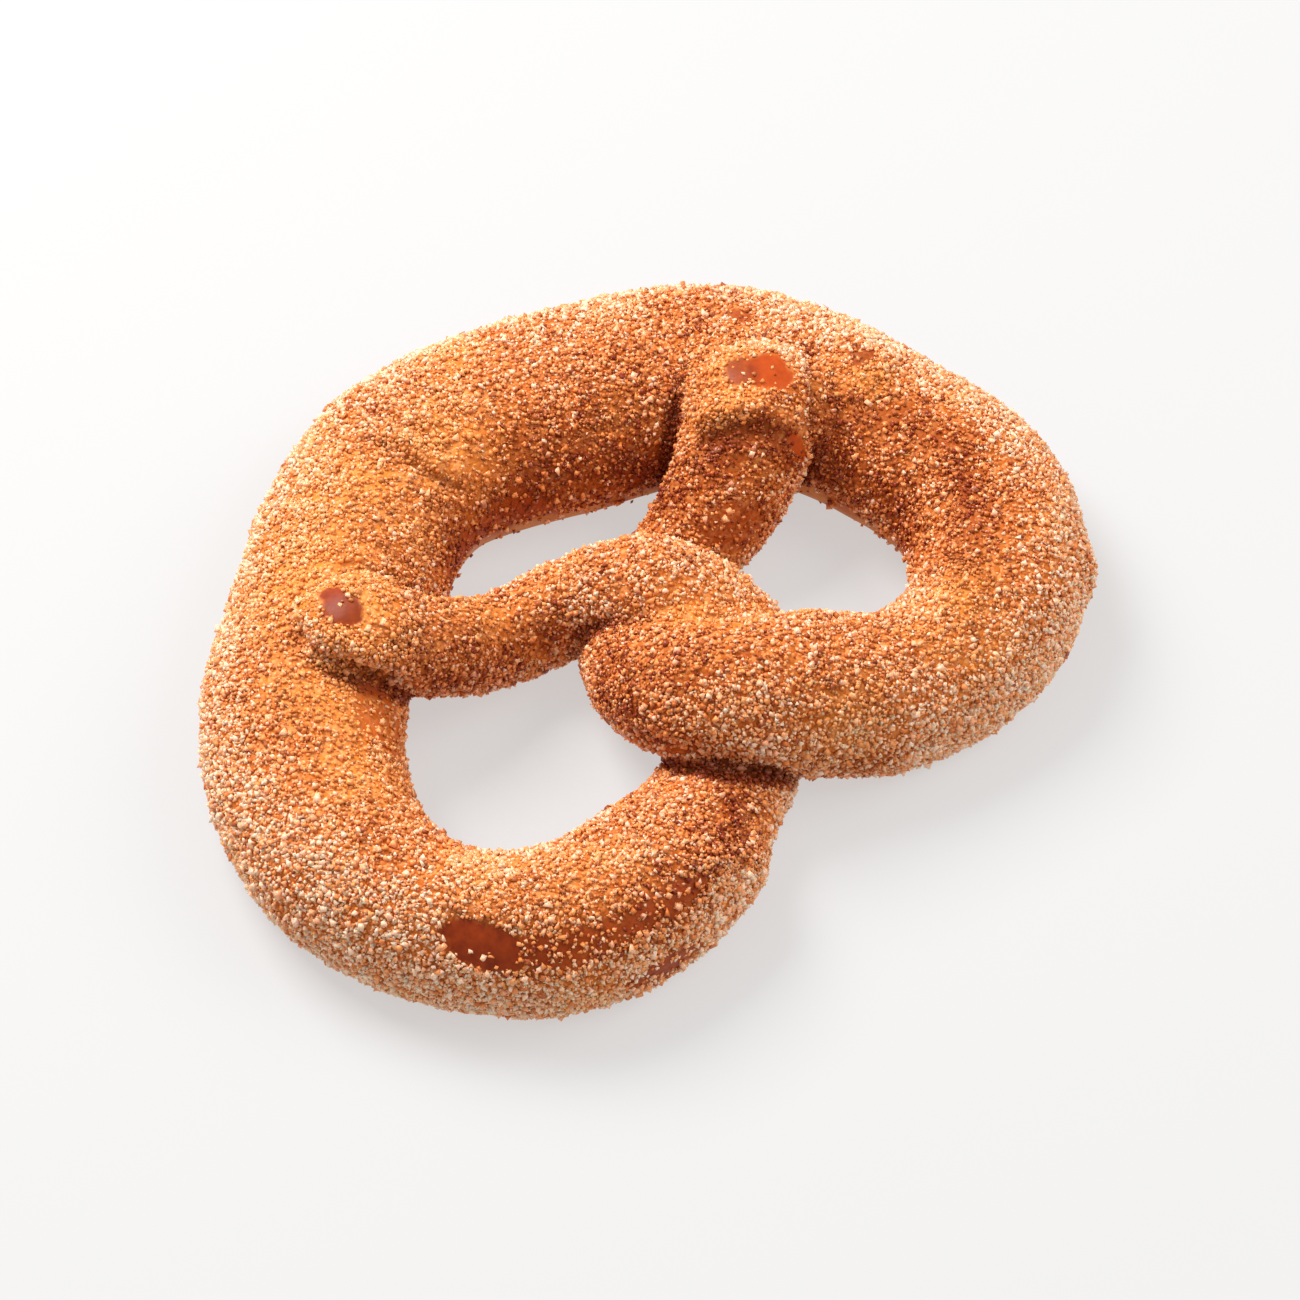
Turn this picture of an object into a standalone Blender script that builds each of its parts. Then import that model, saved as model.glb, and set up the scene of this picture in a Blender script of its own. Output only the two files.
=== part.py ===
"""A hand-rolled soft pretzel: one rope of dough whose two ends cross twice and rest on the far side of its loop.

Metres, +Z up. The pretzel lies on its flat base at Z = 0, with its two lobes towards -X and +X and the round back
of its loop towards +Y. The origin is the middle of its outline, on the base.
Run it with: blender --background --python part.py
"""

import math

import bpy
import numpy as np

MM = 0.001

# Driving dimensions
TRAY_SINK = 1.2 * MM  # how far the rope is modelled below the base, which is then cut off flat
BASE_SHARE = 0.82  # where a resting rope meets the tray, as a share of its half height below its middle
UNDERSIDE_POWER = 0.75  # below 1, the rope's lower sides stand steeper than a round rope's
CLOSED_TIP = 0.02  # size of each end's last cross-section, as a share of the full one
ROPE_STEPS = 260  # cross-sections along the rope
ROPE_SIDES = 28  # corners of each cross-section
FUSE_VOXEL = 1.0 * MM  # grid that fuses the rope where it meets itself
CREASE_PASSES = 4  # smoothing passes that round the creases between fused strands
CREASE_FACTOR = 0.5  # strength of each pass
FACET_SHARE = 0.095  # share of the grid's facets kept in the finished skin
TRAY_REACH = 0.12  # half the side of the block that cuts the base flat
TRAY_DEPTH = 0.02  # thickness of that block

CRUST_COLOUR = (0.56, 0.20, 0.06, 1.0)
CRUST_ROUGHNESS = 0.55

# The middle of the finished outline, in the rope's own x and y. The rope is moved so that this is the origin.
OUTLINE_MIDDLE = (-0.45 * MM, 11.05 * MM)

# The rope from its left end to its right end, in mm: the middle of its width (x, y), the lift of its underside above
# the tray, and its half width and half height there.
ROPE = (
    # left end, lying on the loop
    (-46.0, 33.5, 16.0, 8.0, 6.5),
    (-40.5, 26.5, 16.0, 9.5, 7.5),
    # left arm and the first crossing, where it is on top
    (-31.0, 19.0, 9.5, 8.0, 8.0),
    (-18.5, 17.0, 3.0, 7.5, 8.0),
    (-6.5, 14.0, 4.5, 7.5, 8.5),
    (4.5, 4.0, 10.0, 9.5, 9.0),
    # second crossing, where it is underneath
    (9.5, -8.0, 5.0, 10.0, 8.5),
    (3.5, -19.0, 0.0, 10.5, 7.2),
    (-10.0, -29.5, 0.0, 11.0, 8.6),
    # left lobe
    (-27.0, -36.0, 0.0, 13.5, 12.0),
    (-43.5, -34.5, 0.0, 13.0, 12.5),
    (-58.5, -22.0, 0.0, 12.0, 12.5),
    (-64.0, -4.5, 0.0, 14.0, 13.0),
    (-56.5, 19.0, 0.0, 16.5, 13.0),
    # back of the loop
    (-36.5, 38.0, 0.0, 17.0, 13.0),
    (-9.5, 53.5, 0.0, 18.0, 13.0),
    (21.0, 46.5, 0.0, 19.5, 13.0),
    (44.6, 35.8, 0.0, 17.6, 13.0),
    # right lobe
    (58.0, 10.5, 0.0, 15.5, 13.0),
    (61.6, -10.5, 0.0, 15.4, 13.0),
    (47.0, -30.5, 0.0, 14.0, 13.0),
    (28.5, -32.0, 0.0, 12.5, 12.5),
    (12.0, -24.5, 4.5, 13.4, 11.8),
    # second crossing, where it is on top, and the first, where it is underneath
    (-3.0, -15.5, 9.5, 12.0, 10.5),
    (-3.5, -3.0, 4.0, 10.0, 9.0),
    (6.0, 8.0, 0.0, 9.0, 8.0),
    # right arm and end, lying on the loop
    (17.6, 13.2, 0.5, 8.6, 8.5),
    (30.5, 16.5, 7.0, 10.5, 9.5),
    (41.5, 23.5, 15.0, 12.0, 8.0),
    (48.5, 30.5, 15.5, 10.5, 6.5),
)


def clear_scene():
    for item in list(bpy.data.objects):
        bpy.data.objects.remove(item, do_unlink=True)


def smooth_through(rows, steps):
    """Reads a cubic curve through rows of numbers at even steps of the distance between their places."""
    rows = np.array(rows, float)
    gaps = np.linalg.norm(np.diff(rows[:, :3], axis=0), axis=1)
    along = np.concatenate(([0.0], np.cumsum(gaps)))
    slopes = np.gradient(rows, along, axis=0)
    wanted = np.linspace(0.0, along[-1], steps)
    left = np.clip(np.searchsorted(along, wanted, side="right") - 1, 0, len(along) - 2)
    gap = (along[left + 1] - along[left])[:, None]
    u = (wanted - along[left])[:, None] / gap
    start = (1 + 2 * u) * (1 - u) ** 2 * rows[left] + u * (1 - u) ** 2 * gap * slopes[left]
    end = u**2 * (3 - 2 * u) * rows[left + 1] - u**2 * (1 - u) * gap * slopes[left + 1]
    return start + end


def rope_sections():
    """Every cross-section's middle, sideways and upward directions, half width and half height, in metres."""
    rows = smooth_through(ROPE, ROPE_STEPS) * MM
    width, height = rows[:, 3], rows[:, 4]
    middle = rows[:, :3].copy()
    middle[:, :2] -= OUTLINE_MIDDLE
    middle[:, 2] += BASE_SHARE * height - TRAY_SINK
    ahead = np.gradient(middle, axis=0)
    ahead /= np.linalg.norm(ahead, axis=1)[:, None]
    side = np.cross(ahead, (0.0, 0.0, 1.0))
    side /= np.linalg.norm(side, axis=1)[:, None]
    up = np.cross(side, ahead)
    # Both ends close in a half ellipse as long as the rope's half width there.
    run = np.concatenate(([0.0], np.cumsum(np.linalg.norm(np.diff(middle, axis=0), axis=1))))
    from_end = np.minimum(run, run[-1] - run)
    share = np.clip(from_end / width, 0.0, 1.0)
    closing = np.sqrt(1.0 - (1.0 - share) ** 2)
    closing = np.maximum(closing, CLOSED_TIP)
    return middle, side, up, width * closing, height * closing


def section_outline():
    """One cross-section of unit size, anticlockwise: round on top, with a fuller and flattened underside."""
    turn = np.arange(ROPE_SIDES) * 2.0 * math.pi / ROPE_SIDES
    across, rise = np.cos(turn), np.sin(turn)
    across = np.where(rise < 0.0, np.sign(across) * np.abs(across) ** UNDERSIDE_POWER, across)
    return across, np.maximum(rise, -BASE_SHARE)


def rope_mesh():
    middle, side, up, width, height = rope_sections()
    across, rise = section_outline()
    rings = (
        middle[:, None, :]
        + side[:, None, :] * (width[:, None] * across)[:, :, None]
        + up[:, None, :] * (height[:, None] * rise)[:, :, None]
    )
    faces = []
    for step in range(ROPE_STEPS - 1):
        for corner in range(ROPE_SIDES):
            here = step * ROPE_SIDES + corner
            beside = step * ROPE_SIDES + (corner + 1) % ROPE_SIDES
            faces.append((here, here + ROPE_SIDES, beside + ROPE_SIDES, beside))
    first_ring = range(ROPE_SIDES)
    last_ring = range((ROPE_STEPS - 1) * ROPE_SIDES, ROPE_STEPS * ROPE_SIDES)
    faces.append(tuple(first_ring))
    faces.append(tuple(reversed(last_ring)))
    mesh = bpy.data.meshes.new("pretzel")
    mesh.from_pydata(rings.reshape(-1, 3).tolist(), [], faces)
    mesh.validate()
    mesh.update()
    return mesh


def crust_material():
    crust = bpy.data.materials.new("baked_crust")
    crust.use_nodes = True
    shader = crust.node_tree.nodes["Principled BSDF"]
    shader.inputs["Base Color"].default_value = CRUST_COLOUR
    shader.inputs["Roughness"].default_value = CRUST_ROUGHNESS
    shader.inputs["Metallic"].default_value = 0.0
    return crust


def tray_cutter():
    """A block whose top is the tray's surface. It cuts the pretzel's base flat."""
    across = (-TRAY_REACH, TRAY_REACH)
    corners = [(x, y, z) for x in across for y in across for z in (-TRAY_DEPTH, 0.0)]
    sides = [(0, 1, 3, 2), (4, 6, 7, 5), (0, 4, 5, 1), (2, 3, 7, 6), (0, 2, 6, 4), (1, 5, 7, 3)]
    mesh = bpy.data.meshes.new("tray_cutter")
    mesh.from_pydata(corners, [], sides)
    cutter = bpy.data.objects.new("tray_cutter", mesh)
    cutter.hide_render = True
    cutter.display_type = "WIRE"
    bpy.context.scene.collection.objects.link(cutter)
    return cutter


def make_pretzel():
    pretzel = bpy.data.objects.new("pretzel", rope_mesh())
    bpy.context.scene.collection.objects.link(pretzel)
    pretzel.data.materials.append(crust_material())
    pretzel.data.shade_smooth()
    fuse = pretzel.modifiers.new("fuse the rope", "REMESH")
    fuse.mode = "VOXEL"
    fuse.voxel_size = FUSE_VOXEL
    fuse.use_smooth_shade = True
    creases = pretzel.modifiers.new("round the creases", "SMOOTH")
    creases.factor = CREASE_FACTOR
    creases.iterations = CREASE_PASSES
    facets = pretzel.modifiers.new("facets", "DECIMATE")
    facets.ratio = FACET_SHARE
    base = pretzel.modifiers.new("flat base", "BOOLEAN")
    base.operation = "DIFFERENCE"
    base.solver = "EXACT"
    base.object = tray_cutter()
    return pretzel


clear_scene()
make_pretzel()
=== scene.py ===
"""Looks of a hand-rolled soft pretzel: its wrinkled golden crust, bare glazed spots and cinnamon sugar.

Run it with: blender --background --python scene.py
"""

import math

import bmesh
import bpy
import numpy as np
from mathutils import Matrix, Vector


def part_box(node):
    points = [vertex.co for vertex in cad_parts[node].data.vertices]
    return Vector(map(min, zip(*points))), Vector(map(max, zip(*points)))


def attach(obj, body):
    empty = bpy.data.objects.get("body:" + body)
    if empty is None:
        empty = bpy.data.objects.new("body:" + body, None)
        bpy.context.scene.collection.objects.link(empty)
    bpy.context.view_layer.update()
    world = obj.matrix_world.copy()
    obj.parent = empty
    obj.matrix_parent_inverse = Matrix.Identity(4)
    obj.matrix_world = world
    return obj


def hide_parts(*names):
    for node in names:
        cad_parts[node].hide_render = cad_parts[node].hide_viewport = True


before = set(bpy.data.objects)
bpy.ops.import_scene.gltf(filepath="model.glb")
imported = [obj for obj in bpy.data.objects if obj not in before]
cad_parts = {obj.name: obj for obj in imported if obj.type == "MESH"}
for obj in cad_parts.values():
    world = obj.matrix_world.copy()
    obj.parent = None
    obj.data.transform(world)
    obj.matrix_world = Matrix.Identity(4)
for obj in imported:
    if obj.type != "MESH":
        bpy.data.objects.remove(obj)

bl_info = {
    "name": "Cinnamon Sugar Pretzel",
    "version": (1, 0, 0),
    "blender": (4, 5, 0),
    "location": "3D View > Sidebar > Pretzel",
    "description": "Gives a plain pretzel solid its baked crust, its coat of cinnamon sugar and a stage",
    "category": "Object",
}

MM = 0.001
NODE = "pretzel"
BODY = "root"
CRUST = "pretzel_crust"
LOW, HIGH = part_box(NODE)
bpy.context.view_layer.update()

# Places on the pretzel, in mm from the middle of its base. The two ends lie on the loop at the left and right.
# Spots with no sugar on them: middle, half lengths along three axes, turn about Z in degrees, how bare they
# are and how light their glaze is.
BARE_SPOTS = (
    ((-41.6, 18.6, 28.0), (2.0, 3.4, 4.0), 12.0, 1.0, 0.35),
    ((-42.0, 14.6, 28.0), (3.0, 4.0, 4.0), 0.0, 0.95, 0.0),
    ((39.2, 13.6, 28.0), (3.2, 3.8, 4.0), -35.0, 0.9, 0.15),
    ((43.0, 10.6, 28.0), (4.2, 4.6, 4.0), -35.0, 1.0, 0.85),
    ((-58.4, -45.4, 18.4), (3.8, 8.0, 4.6), 30.0, 1.0, 0.2),
    ((-52.0, -51.0, 18.6), (3.2, 3.0, 3.4), 0.0, 0.6, 0.3),
    ((-35.0, -60.6, 8.5), (7.4, 3.0, 3.4), 0.0, 0.9, 0.3),
    ((59.7, 6.6, 22.1), (2.8, 2.6, 2.5), 0.0, 0.75, 0.1),
    ((49.4, 26.7, 22.0), (1.6, 2.6, 2.5), 20.0, 0.8, 0.3),
    ((39.6, -1.0, 20.9), (1.3, 2.2, 5.0), 20.0, 0.9, 1.0),
    ((4.1, -30.9, 27.2), (1.6, 1.2, 2.0), 0.0, 0.6, 0.3),
    ((-45.5, -1.0, 17.0), (5.5, 7.5, 6.0), 0.0, 0.6, 1.0),
    ((-4.0, 23.5, 9.0), (13.0, 4.0, 4.5), 0.0, 0.5, 0.6),
    ((24.0, -3.5, 15.0), (5.5, 4.5, 5.0), 0.0, 0.5, 0.6),
    ((-46.0, -53.8, 17.4), (11.0, 2.4, 3.0), -6.0, 0.5, 0.5),
    ((-32.0, -55.8, 18.0), (8.5, 2.6, 3.0), -3.0, 0.6, 0.5),
)

# Where the crust baked golden instead of brown: middle, reach and strength.
GOLDEN_SPOTS = (
    ((-39.6, 26.0, 22.6), 13.0, 1.0),
    ((-52.0, 8.0, 22.0), 9.0, 0.7),
    ((-7.1, 36.0, 21.2), 9.0, 0.9),
    ((-24.0, 29.0, 15.0), 7.0, 0.9),
    ((41.3, -40.6, 21.8), 6.0, 0.8),
    ((13.0, -46.0, 18.0), 6.0, 0.7),
    ((-52.9, -36.5, 21.3), 6.0, 0.4),
    ((-42.0, -44.0, 21.0), 7.0, 0.4),
    ((-56.0, -8.0, 20.0), 9.0, 0.7),
    ((-45.0, -3.0, 17.0), 5.0, 0.9),
    ((1.6, -17.0, 21.8), 5.0, 0.7),
    ((40.0, 17.0, 26.0), 6.0, 0.6),
    ((58.0, 1.5, 22.0), 4.0, 0.9),
    ((-40.5, 12.0, 27.0), 7.5, 0.9),
    ((-35.0, 17.0, 26.0), 6.0, 0.7),
    ((-30.0, 36.0, 22.0), 10.0, 0.7),
    ((32.0, 10.0, 26.0), 4.5, 0.7),
    ((-49.0, 2.5, 20.5), 8.0, 1.0),
)

# Lumps on the crust: middle, reach and height.
LUMPS = (
    ((60.0, 6.0, 22.0), 5.0, 1.3),
    ((66.5, -45.0, 11.0), 4.5, 1.3),
    ((19.5, -30.1, 21.7), 3.0, 0.9),
    ((-46.5, 13.0, 25.0), 3.0, 0.7),
    ((-44.0, 8.5, 24.0), 2.6, 0.8),
    ((-9.5, 40.0, 22.0), 4.0, 0.6),
    ((-20.0, -54.0, 17.5), 4.0, 0.8),
    ((-14.0, -56.0, 13.0), 4.0, 1.0),
    ((31.5, 9.6, 25.5), 3.2, 0.8),
    ((36.5, 7.0, 26.2), 3.2, 0.8),
    ((-12.0, -58.5, 9.0), 5.0, 1.8),
    ((-36.5, 8.0, 25.5), 3.0, 0.6),
)

# Folds and cracks in the crust: depth, half width and the points they pass.
GROOVES = (
    (0.6, 2.2, ((27.5, 8.4, 22.0), (31.0, 6.6, 24.4), (34.8, 4.0, 25.2), (37.8, 0.8, 23.4))),
    (0.7, 1.4, (
        (54.7, 13.9, 22.3), (49.2, 7.2, 24.9), (45.5, 2.7, 24.3), (43.1, -0.4, 21.2),
        (42.3, -1.2, 14.3),
    )),
    (0.8, 0.8, ((21.6, 44.7, 21.0), (22.0, 41.5, 21.8), (22.5, 38.9, 22.2))),
    (1.1, 0.9, ((-12.8, 51.3, 20.4), (-11.4, 47.0, 21.9), (-9.8, 42.7, 22.4), (-8.6, 38.0, 22.0))),
    (0.9, 0.9, ((-16.0, 44.0, 22.0), (-14.6, 38.5, 22.2), (-12.6, 33.5, 21.0), (-9.0, 29.0, 18.0))),
    (1.4, 1.2, ((-48.4, 18.0, 24.0), (-48.4, 13.6, 24.4), (-47.0, 10.2, 24.2), (-45.1, 7.9, 23.6))),
    (2.4, 1.5, ((-45.1, 7.9, 23.6), (-43.4, 5.4, 22.0), (-41.6, 3.4, 20.0), (-39.8, 2.0, 17.8))),
    (0.8, 1.6, (
        (-15.0, -27.5, 16.0), (-13.0, -31.5, 17.6), (-10.0, -36.0, 18.2), (-5.5, -40.6, 16.5),
        (0.0, -43.9, 11.5),
    )),
)

# Crusty edges that stand up from the crust: height, half width and the points they pass.
RIDGES = (
    (1.6, 1.6, (
        (-45.2, 20.5, 24.6), (-46.0, 15.5, 25.6), (-45.2, 12.4, 25.6), (-43.9, 10.2, 25.0),
        (-42.2, 8.4, 24.0),
    )),
    (1.7, 1.6, ((-42.2, 8.4, 24.0), (-40.2, 6.6, 22.4), (-37.4, 5.0, 20.4))),
    (0.9, 1.6, (
        (29.0, 12.0, 24.4), (32.0, 10.6, 25.6), (35.4, 8.0, 26.5), (38.4, 4.8, 26.3),
        (40.0, 1.6, 24.6),
    )),
    (1.0, 1.4, ((-13.5, 44.5, 22.2), (-12.2, 39.0, 22.3), (-10.2, 33.5, 20.8))),
    (0.9, 1.4, ((-5.8, 41.5, 22.3), (-3.9, 35.5, 21.2), (-7.0, 31.0, 19.5))),
    (0.9, 1.3, ((57.0, 2.0, 23.0), (60.5, 1.6, 21.0), (63.0, 4.0, 20.5))),
)

# Seams that have baked nearly smooth, where a strand runs on into the one it lies on.
SOFT_SEAMS = (
    ((-13.5, -8.5, 14.0), (-10.2, -9.8, 18.0), (-5.5, -12.2, 21.5), (1.0, -15.6, 22.0), (7.2, -18.2, 21.2)),
    ((7.2, -18.2, 21.2), (12.3, -19.9, 19.7), (18.0, -22.5, 15.0)),
    ((-39.5, 23.5, 25.0), (-36.0, 19.5, 25.0), (-33.0, 14.0, 23.0)),
    ((51.5, 10.5, 22.5), (49.6, 5.0, 22.3), (47.6, 0.8, 21.0), (45.8, -2.4, 16.0)),
    ((47.0, 22.0, 23.0), (41.0, 24.0, 22.5), (34.0, 22.5, 22.0)),
)

# Where the crust baked deep brown and little sugar stuck, in part painted shade on walls facing the gaps, under
# lips and under the arms: strength, reach and the points it passes.
DEEP_BROWN_AND_SHADE_PATHS = (
    (1.0, 7.0, (
        (-13.0, 23.0, 11.0), (-4.0, 22.5, 12.0), (5.0, 25.5, 14.0), (16.0, 21.5, 15.0),
        (22.0, 16.5, 13.0),
    )),
    (1.0, 4.4, (
        (-56.0, -50.0, 17.6), (-49.0, -53.0, 18.0), (-42.0, -55.0, 18.0), (-34.0, -56.5, 17.0),
        (-26.0, -55.0, 17.0),
    )),
    (0.3, 5.0, ((-52.0, 3.5, 20.0), (-45.5, 0.0, 17.0), (-43.5, -7.0, 12.0))),
    (0.5, 5.0, ((-20.0, 29.0, 12.0), (-30.0, 20.0, 12.0), (-36.0, 12.0, 16.0))),
    (0.9, 4.5, ((43.5, 9.0, 20.0), (46.5, 1.0, 18.0), (47.5, -6.0, 15.0))),
    (0.7, 5.2, (
        (50.0, 1.0, 21.0), (57.5, -8.0, 21.0), (60.0, -17.0, 21.0), (55.0, -27.0, 21.0),
        (47.0, -36.0, 21.0),
    )),
    (0.75, 4.5, ((-9.0, -45.0, 14.0), (-15.0, -51.0, 15.0), (-24.0, -55.0, 17.0))),
    (0.75, 4.6, (
        (-14.0, -24.0, 19.0), (-9.0, -33.0, 20.0), (-1.0, -40.0, 17.0), (8.0, -46.0, 13.0),
        (17.0, -51.0, 9.0),
    )),
    (0.45, 4.0, ((-36.0, 5.0, 20.0), (-27.0, 3.0, 20.0), (-18.0, 2.0, 21.0), (-10.0, -2.0, 22.0))),
    (0.8, 5.0, ((18.0, 9.0, 14.0), (24.0, 5.0, 19.0), (30.0, 3.0, 22.6))),
    (1.0, 4.0, ((28.5, 6.5, 23.5), (32.0, 4.5, 24.4), (36.0, 1.5, 24.0), (37.0, -1.5, 21.0))),
    (0.45, 6.0, ((32.0, 1.0, 20.0), (27.5, -4.0, 15.0), (21.0, -6.0, 12.0))),
    (0.7, 4.0, ((-13.0, -12.0, 18.0), (-10.5, -15.0, 19.0), (-14.0, -18.0, 15.0))),
    (0.7, 5.5, ((41.0, -3.0, 13.0), (47.0, -8.0, 15.0), (49.5, -14.0, 15.0), (48.0, -22.0, 14.0))),
    (0.6, 3.6, ((-37.0, 1.5, 16.0), (-27.0, -1.5, 13.0), (-16.0, -1.5, 13.0), (-9.0, -5.0, 15.0))),
    (0.5, 3.0, (
        (-15.0, -26.0, 16.0), (-13.0, -31.5, 17.0), (-10.0, -36.5, 17.5), (-4.5, -41.5, 15.5),
        (0.5, -44.5, 11.0),
    )),
    (0.45, 9.0, ((-10.0, -24.0, 24.0), (-2.0, -38.0, 22.0), (12.0, -45.0, 16.0))),
    (0.8, 6.0, ((3.0, 32.0, 17.0), (14.0, 27.0, 18.0), (23.0, 24.0, 20.0))),
)

# Where the sugar lies thick and pale: strength, reach and the points it passes.
PALE_PATHS = (
    (0.9, 5.5, (
        (-71.0, -10.0, 20.0), (-68.0, -25.0, 20.5), (-60.0, -33.0, 21.0), (-48.0, -34.5, 20.0),
        (-36.0, -34.0, 19.0),
    )),
    (0.8, 6.0, ((56.0, 22.0, 19.0), (66.0, 6.0, 20.0), (70.0, -10.0, 20.0), (68.0, -24.0, 20.0))),
    (0.6, 5.0, ((-12.0, -3.0, 24.0), (0.0, -8.0, 26.0), (10.0, -14.0, 24.0))),
    (0.6, 5.0, ((14.0, -26.0, 23.0), (26.0, -30.0, 23.0), (36.0, -36.0, 21.0))),
    (0.6, 6.0, ((-34.0, 45.0, 19.0), (-10.0, 55.0, 18.0), (14.0, 53.0, 19.0), (34.0, 42.0, 19.0))),
    (0.6, 3.6, ((-33.0, -46.0, 22.0), (-27.0, -49.0, 21.0))),
    (0.3, 5.0, ((-10.0, 45.0, 22.0), (-4.0, 43.0, 22.5), (1.0, 42.0, 22.5))),
    (0.5, 6.0, ((-56.0, 24.0, 20.0), (-46.0, 34.0, 21.0), (-30.0, 42.0, 21.0))),
)

# Crusty heaps of sugar: middle, reach and how many more grains lie there.
HEAPS = (
    ((-46.5, 12.5, 25.0), 3.6, 1.6),
    ((-44.0, 8.0, 24.0), 3.4, 1.6),
    ((-10.0, 39.0, 22.0), 5.0, 0.9),
    ((-20.0, -53.8, 18.0), 5.0, 1.0),
    ((-13.0, -56.0, 13.0), 4.0, 1.2),
    ((31.0, 11.0, 25.5), 3.0, 1.2),
    ((35.5, 8.2, 26.5), 3.0, 1.2),
    ((-38.0, 6.0, 22.0), 3.0, 1.4),
    ((60.0, 2.5, 21.5), 3.0, 1.0),
)


# ---------------------------------------------------------------- numbers over the surface

def lattice_noise(places, size, seed):
    """Smooth noise from -1 to 1 at places, with features of about that size."""
    spots = places / size + np.array((17.3, 9.1, 5.7)) * seed
    cell = np.floor(spots).astype(np.int64)
    part = spots - cell
    part = part * part * (3.0 - 2.0 * part)
    total = np.zeros(len(places))
    for corner in range(8):
        step = np.array([(corner >> axis) & 1 for axis in range(3)])
        x, y, z = (cell + step).T
        mixed = (x * 73856093) ^ (y * 19349663) ^ (z * 83492791)
        mixed = ((mixed ^ (mixed >> 13)) * 1274126177) & 0xFFFFFFFF
        mixed = ((mixed ^ (mixed >> 15)) * 2246822519) & 0xFFFFFFFF
        share = np.prod(np.where(step == 1, part, 1.0 - part), axis=1)
        total += share * (mixed / 0x7FFFFFFF - 1.0)
    return total


def layered_noise(places, size, seed, layers=3):
    """Noise with smaller and weaker features on top of larger ones."""
    total, strength = np.zeros(len(places)), 0.0
    for layer in range(layers):
        total += lattice_noise(places, size * 0.5**layer, seed + layer) * 0.5**layer
        strength += 0.5**layer
    return total / strength


def rising(values, low, high):
    """0 below low, 1 above high and a smooth step between. With low above high it falls."""
    share = np.clip((values - low) / (high - low), 0.0, 1.0)
    return share * share * (3.0 - 2.0 * share)


def near_point(places, middle, reach):
    """1 at a point, falling to about 0.37 at that reach from it."""
    away = np.linalg.norm(places - np.array(middle) * MM, axis=1) / (reach * MM)
    return np.exp(-(away**2))


def near_path(places, points, reach):
    """1 on a path through points, falling to about 0.37 at that reach from it."""
    points = np.array(points) * MM
    least = np.full(len(places), np.inf)
    for start, end in zip(points[:-1], points[1:]):
        along = end - start
        share = np.clip((places - start) @ along / (along @ along), 0.0, 1.0)
        least = np.minimum(least, np.linalg.norm(places - start - share[:, None] * along, axis=1))
    return np.exp(-((least / (reach * MM)) ** 2))


def bareness(places):
    """How bare of sugar each place is and how light its glaze, from 0 to 1. The spots have ragged edges."""
    ragged = layered_noise(places, 2.6 * MM, 31) * 0.5 + layered_noise(places, 0.9 * MM, 34, 2) * 0.25
    most = np.zeros(len(places))
    tones = np.zeros(len(places))
    shares = np.full(len(places), 1e-9)
    for middle, half, turn, strength, tone in BARE_SPOTS:
        away = (places - np.array(middle) * MM) / MM
        turned = math.radians(turn)
        along = away[:, 0] * math.cos(turned) + away[:, 1] * math.sin(turned)
        across = away[:, 1] * math.cos(turned) - away[:, 0] * math.sin(turned)
        far = np.sqrt((along / half[0]) ** 2 + (across / half[1]) ** 2 + (away[:, 2] / half[2]) ** 2)
        most = np.maximum(most, rising(far + ragged * 0.5, 1.12, 0.82) * strength)
        share = np.exp(-2.0 * far**2)
        tones += share * tone
        shares += share
    return most, tones / shares


def goldenness(places):
    """How golden the crust is at each place, from 0 to 1."""
    total = np.zeros(len(places))
    for middle, reach, strength in GOLDEN_SPOTS:
        total = np.maximum(total, near_point(places, middle, reach) * strength)
    total += 0.45 * rising(layered_noise(places, 14.0 * MM, 5), 0.05, 0.6)
    return np.clip(total, 0.0, 1.0)


def deep_brown_and_shade(places):
    """How deep brown the crust is at each place, from 0 to 1: in part its own browning, in part painted shade on
    walls and under the arms.
    """
    total = np.zeros(len(places))
    for strength, reach, points in DEEP_BROWN_AND_SHADE_PATHS:
        total = np.maximum(total, near_path(places, points, reach) * strength)
    return np.clip(total * (1.0 + 0.35 * layered_noise(places, 6.0 * MM, 51)), 0.0, 1.0)


def paleness(places, normals):
    """How thick and pale the sugar lies at each place, from 0 to 1: most on the pretzel's outer rim."""
    outward = np.sum(places[:, :2] * normals[:, :2], axis=1) / (np.linalg.norm(places[:, :2], axis=1) + MM)
    ragged = layered_noise(places, 12.0 * MM, 61) * 0.25
    pale = rising(outward + ragged, 0.15, 0.85)
    for strength, reach, points in PALE_PATHS:
        pale = np.maximum(pale, near_path(places, points, reach) * strength)
    return np.clip(pale * (1.0 + 0.4 * layered_noise(places, 5.0 * MM, 64)), 0.0, 1.0)


def kept_low(heights, limit, room):
    """Heights that level off above a limit, so that they never pass it by more than the room."""
    over = np.maximum(heights - limit, 0.0)
    return np.minimum(heights, limit) + room * (1.0 - np.exp(-over / room))


def heaping(places):
    """How many more grains than usual are heaped at each place."""
    total = np.zeros(len(places))
    for middle, reach, extra in HEAPS:
        total += near_point(places, middle, reach) * extra
    return total


def facing_gap(places, normals):
    """1 where a side faces one of the gaps, 0 where it faces out of the pretzel."""
    inward = -np.sum(places[:, :2] * normals[:, :2], axis=1) / (np.linalg.norm(places[:, :2], axis=1) + MM)
    return rising(inward, -0.05, 0.35)


def unsugared_band(places, normals):
    """How pale and bare the foot of the crust is, from 0 to 1: dough that lay against the tray."""
    ragged = layered_noise(places, 5.0 * MM, 12) * 1.6 * MM
    inner = rising(places[:, 2] + ragged, 8.6 * MM, 7.0 * MM) * facing_gap(places, normals)
    foot = rising(places[:, 2] + ragged * 0.5, 1.9 * MM, 1.0 * MM)
    return np.maximum(inner, foot)


# ---------------------------------------------------------------- meshes

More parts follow.
